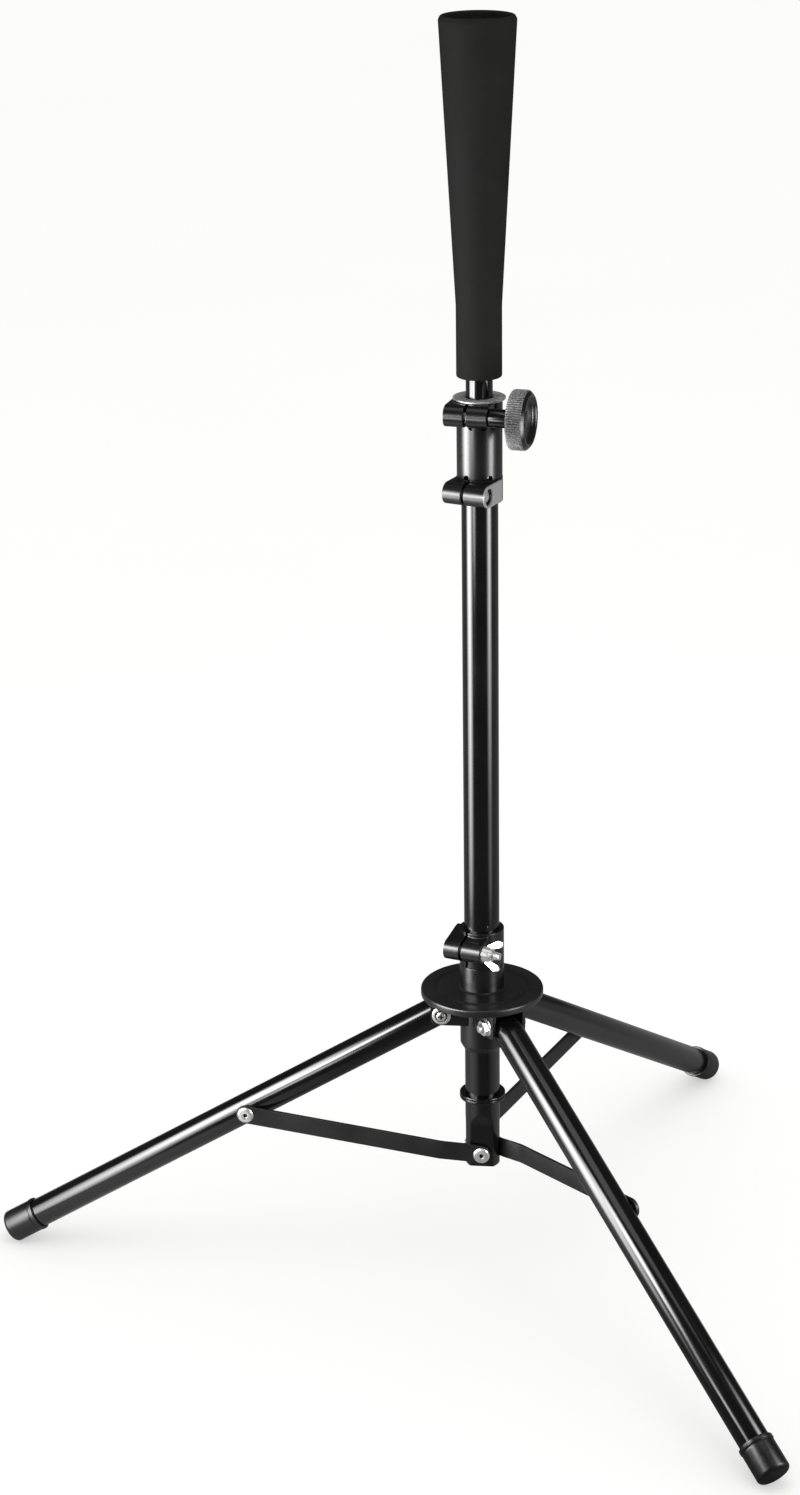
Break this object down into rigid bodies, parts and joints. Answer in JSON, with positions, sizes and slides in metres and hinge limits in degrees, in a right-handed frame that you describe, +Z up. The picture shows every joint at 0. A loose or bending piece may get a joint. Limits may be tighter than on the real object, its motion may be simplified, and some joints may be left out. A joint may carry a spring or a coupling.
{
  "type": "batting tee",
  "caption": "Batting tee: flared rubber ball cone on a telescopic post, clamped in a mast that stands on a folding tripod with flat braces.",
  "frame": {"origin": "on the floor, under the axis of the mast", "axes": "+Z up along the mast; +Y away from the side where the clamp barrels face; leg 1 points to -X"},
  "size_m": [0.573, 0.6262, 0.9155],
  "materials": {
    "enamel": "gloss black enamel",
    "satin_steel": "satin black coating",
    "brace_steel": "satin black coating on flat strip",
    "cone_rubber": "matte charcoal rubber",
    "foot_rubber": "black rubber, slight sheen",
    "disc_plastic": "satin dark grey moulding",
    "knob_plastic": "grey knurled rim with a dark dished face",
    "ferrule_plate": "polished bright ferrule",
    "guide_plastic": "plain black moulding",
    "zinc_plate": "bright zinc plate"
  },
  "bodies": {
    "mast": {"mast_tube": "enamel", "stop_ring": "enamel", "coupler_sleeve": "satin_steel", "shaft_bush": "ferrule_plate", "upper_clamp_band": "satin_steel", "upper_clamp_nut": "zinc_plate", "lower_clamp_band": "satin_steel", "lower_clamp_bolt": "zinc_plate", "lower_clamp_nut": "zinc_plate", "brace_mast_rivet_1": "zinc_plate", "brace_mast_rivet_2": "zinc_plate", "brace_mast_rivet_3": "zinc_plate"},
    "post": {"inner_shaft": "enamel", "shaft_guide": "guide_plastic", "ball_cone": "cone_rubber"},
    "knob": {"clamp_knob": "knob_plastic", "knob_spacer": "enamel", "clamp_screw": "zinc_plate"},
    "wing_nut": {"wing_nut": "zinc_plate"},
    "hub": {"hub_sleeve": "satin_steel", "hub_disc": "disc_plastic", "hub_clamp_band": "satin_steel", "hub_clamp_bolt": "zinc_plate", "leg_bracket_1": "satin_steel", "leg_hinge_bolt_1": "zinc_plate", "leg_hinge_nut_1": "zinc_plate", "leg_bracket_2": "satin_steel", "leg_hinge_bolt_2": "zinc_plate", "leg_hinge_nut_2": "zinc_plate", "leg_bracket_3": "satin_steel", "leg_hinge_bolt_3": "zinc_plate", "leg_hinge_nut_3": "zinc_plate"},
    "leg_1": {"leg_tube_1": "enamel", "foot_cap_1": "foot_rubber"},
    "brace_1": {"brace_1": "brace_steel", "brace_leg_rivet_1": "zinc_plate"},
    "leg_2": {"leg_tube_2": "enamel", "foot_cap_2": "foot_rubber"},
    "brace_2": {"brace_2": "brace_steel", "brace_leg_rivet_2": "zinc_plate"},
    "leg_3": {"leg_tube_3": "enamel", "foot_cap_3": "foot_rubber"},
    "brace_3": {"brace_3": "brace_steel", "brace_leg_rivet_3": "zinc_plate"}
  },
  "joints": [
    {"name": "hub_slide", "type": "slide", "parent": "mast", "child": "hub", "axis": [0, 0, 1], "range_m": [0, 0.2136]},
    {"name": "post_slide", "type": "slide", "parent": "mast", "child": "post", "axis": [0, 0, 1], "range_m": [-0.0136, 0.38]},
    {"name": "knob_turn", "type": "hinge", "parent": "mast", "child": "knob", "pos_m": [-0.00531, -0.0198, 0.6522], "axis": [0.9659, -0.2588, 0], "range_deg": [0, 720]},
    {"name": "wing_nut_turn", "type": "hinge", "parent": "hub", "child": "wing_nut", "pos_m": [-0.00768, -0.01901, 0.2585], "axis": [0.9272, -0.3746, 0], "range_deg": [0, 720]},
    {"name": "leg_1_hinge", "type": "hinge", "parent": "hub", "child": "leg_1", "pos_m": [-0.02835, 0.00173, 0.2049], "axis": [-0.061, -0.9981, 0], "range_deg": [0, 45.1]},
    {"name": "brace_1_hinge", "type": "hinge", "parent": "mast", "child": "brace_1", "pos_m": [0, 0, 0.0917], "axis": [0.061, 0.9981, 0], "range_deg": [0, 57.9]},
    {"name": "leg_2_hinge", "type": "hinge", "parent": "hub", "child": "leg_2", "pos_m": [0.01568, -0.02368, 0.2049], "axis": [0.8339, 0.5519, 0], "range_deg": [0, 45.1]},
    {"name": "brace_2_hinge", "type": "hinge", "parent": "mast", "child": "brace_2", "pos_m": [0, 0, 0.0917], "axis": [-0.8339, -0.5519, 0], "range_deg": [0, 57.9]},
    {"name": "leg_3_hinge", "type": "hinge", "parent": "hub", "child": "leg_3", "pos_m": [0.0142, 0.02459, 0.2049], "axis": [-0.866, 0.5, 0], "range_deg": [0, 45.1]},
    {"name": "brace_3_hinge", "type": "hinge", "parent": "mast", "child": "brace_3", "pos_m": [0, 0, 0.0917], "axis": [0.866, -0.5, 0], "range_deg": [0, 57.9]}
  ],
  "couplings": [
    {"joint": "leg_1_hinge", "follows": "hub_slide", "rad_per_m": 3.6826},
    {"joint": "brace_1_hinge", "follows": "hub_slide", "rad_per_m": 4.7248},
    {"joint": "leg_2_hinge", "follows": "hub_slide", "rad_per_m": 3.6826},
    {"joint": "brace_2_hinge", "follows": "hub_slide", "rad_per_m": 4.7248},
    {"joint": "leg_3_hinge", "follows": "hub_slide", "rad_per_m": 3.6826},
    {"joint": "brace_3_hinge", "follows": "hub_slide", "rad_per_m": 4.7248}
  ]
}
